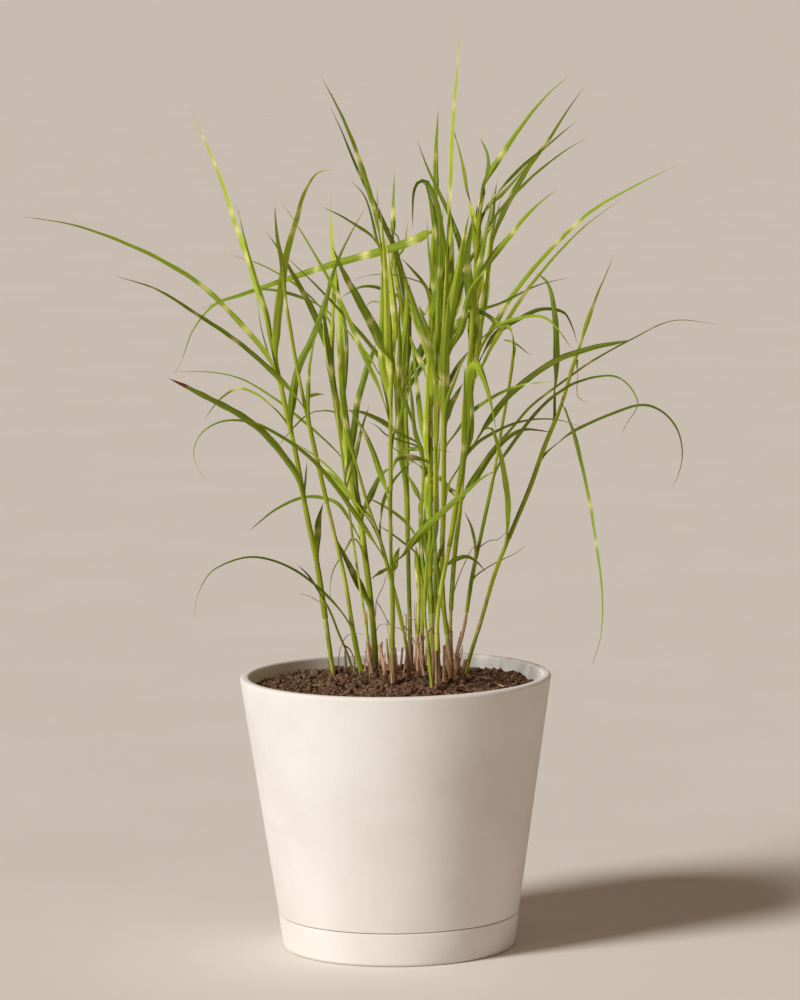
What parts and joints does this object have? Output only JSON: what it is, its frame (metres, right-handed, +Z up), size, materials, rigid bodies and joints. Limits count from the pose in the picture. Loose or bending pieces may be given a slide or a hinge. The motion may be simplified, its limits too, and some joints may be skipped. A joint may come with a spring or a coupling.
{
  "type": "potted zebra grass",
  "caption": "Zebra grass with arching cross-banded blades on leaning stems, growing from soil in a tapered round planter with a flush saucer.",
  "frame": {"origin": "centre of the flat underside of the saucer", "axes": "+Z up, the front of the plant towards -Y, +X to its right"},
  "size_m": [0.6989, 0.4804, 0.9233],
  "materials": {
    "pot": "matt cream cast planter with a fine grain",
    "soil": "crumbly dark potting mix",
    "stem": "waxy yellow-green stem with darker nodes",
    "leaf": "green blade with pale cross bands and a pale midrib",
    "dry": "dry straw"
  },
  "bodies": {
    "root": {"leaf_01": "leaf", "leaf_02": "leaf", "leaf_03": "leaf", "leaf_04": "leaf", "leaf_05": "leaf", "leaf_06": "leaf", "leaf_07": "leaf", "leaf_08": "leaf", "leaf_09": "leaf", "leaf_10": "leaf", "leaf_11": "leaf", "leaf_12": "leaf", "leaf_13": "leaf", "leaf_14": "leaf", "leaf_15": "leaf", "leaf_16": "leaf", "leaf_17": "leaf", "leaf_18": "leaf", "leaf_19": "leaf", "leaf_20": "leaf", "leaf_21": "leaf", "leaf_22": "leaf", "leaf_23": "leaf", "leaf_24": "leaf", "leaf_25": "leaf", "leaf_26": "leaf", "leaf_27": "leaf", "leaf_28": "leaf", "leaf_29": "leaf", "leaf_30": "leaf", "leaf_31": "leaf", "leaf_32": "leaf", "leaf_33": "leaf", "leaf_34": "leaf", "leaf_35": "leaf", "leaf_36": "leaf", "leaf_37": "leaf", "pot": "pot", "saucer": "pot", "soil": "soil", "stem_01": "stem", "stem_02": "stem", "stem_03": "stem", "stem_04": "stem", "stem_05": "stem", "stem_06": "stem", "stem_07": "stem", "stem_08": "stem", "stem_09": "stem", "stem_10": "stem", "stem_11": "stem", "stem_12": "stem", "stem_13": "stem", "stem_14": "stem", "stem_15": "stem", "stem_16": "stem", "stem_17": "stem", "stem_18": "stem", "stub_01": "dry", "stub_02": "dry"}
  },
  "joints": []
}
